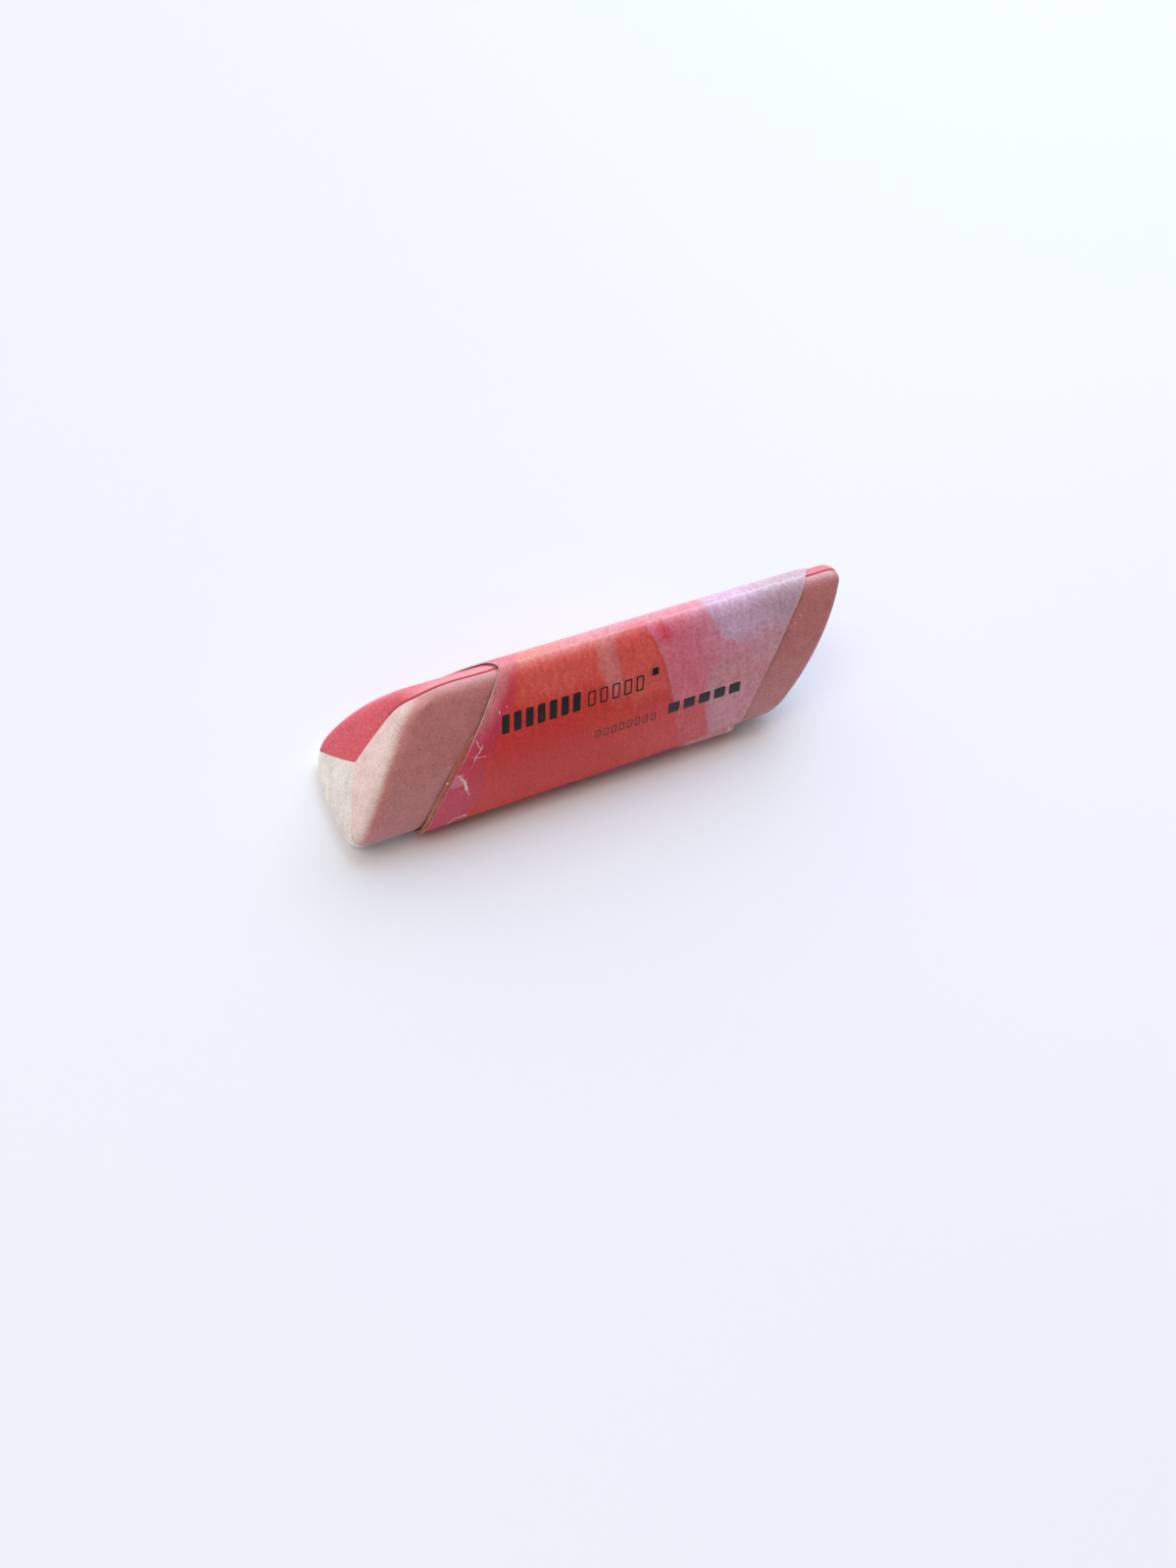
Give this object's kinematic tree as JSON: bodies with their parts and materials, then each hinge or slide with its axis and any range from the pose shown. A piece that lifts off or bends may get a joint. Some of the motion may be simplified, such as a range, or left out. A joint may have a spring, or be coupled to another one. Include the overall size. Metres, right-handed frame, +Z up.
{
  "type": "rubber eraser",
  "caption": "Triangular bar of soft rubber in bonded strips of different colours, with slanted ends, in a folded card sleeve that slides along it.",
  "frame": {"origin": "centre of the footprint, on the surface that the eraser stands on", "axes": "+X along the bar, towards the end whose ridge stands out; +Y towards the coral face; +Z up, through the ridge"},
  "size_m": [0.065, 0.0174, 0.0158],
  "materials": {
    "pink_rubber": "dusty pink, dull, slightly powdery",
    "coral_rubber": "coral red, dull, slightly powdery",
    "white_rubber": "off-white, dull, slightly powdery",
    "printed_card": "printed colour wash from magenta through red to pale lilac, satin, worn at the left cut"
  },
  "bodies": {
    "rubber": {"rubber_front_pink": "pink_rubber", "rubber_back_coral": "coral_rubber", "rubber_base_white": "white_rubber"},
    "sleeve": {"card_sleeve": "printed_card"}
  },
  "joints": [
    {"name": "sleeve_slide", "type": "slide", "parent": "rubber", "child": "sleeve", "axis": [1, 0, 0], "range_m": [-0.05, 0.05]}
  ]
}
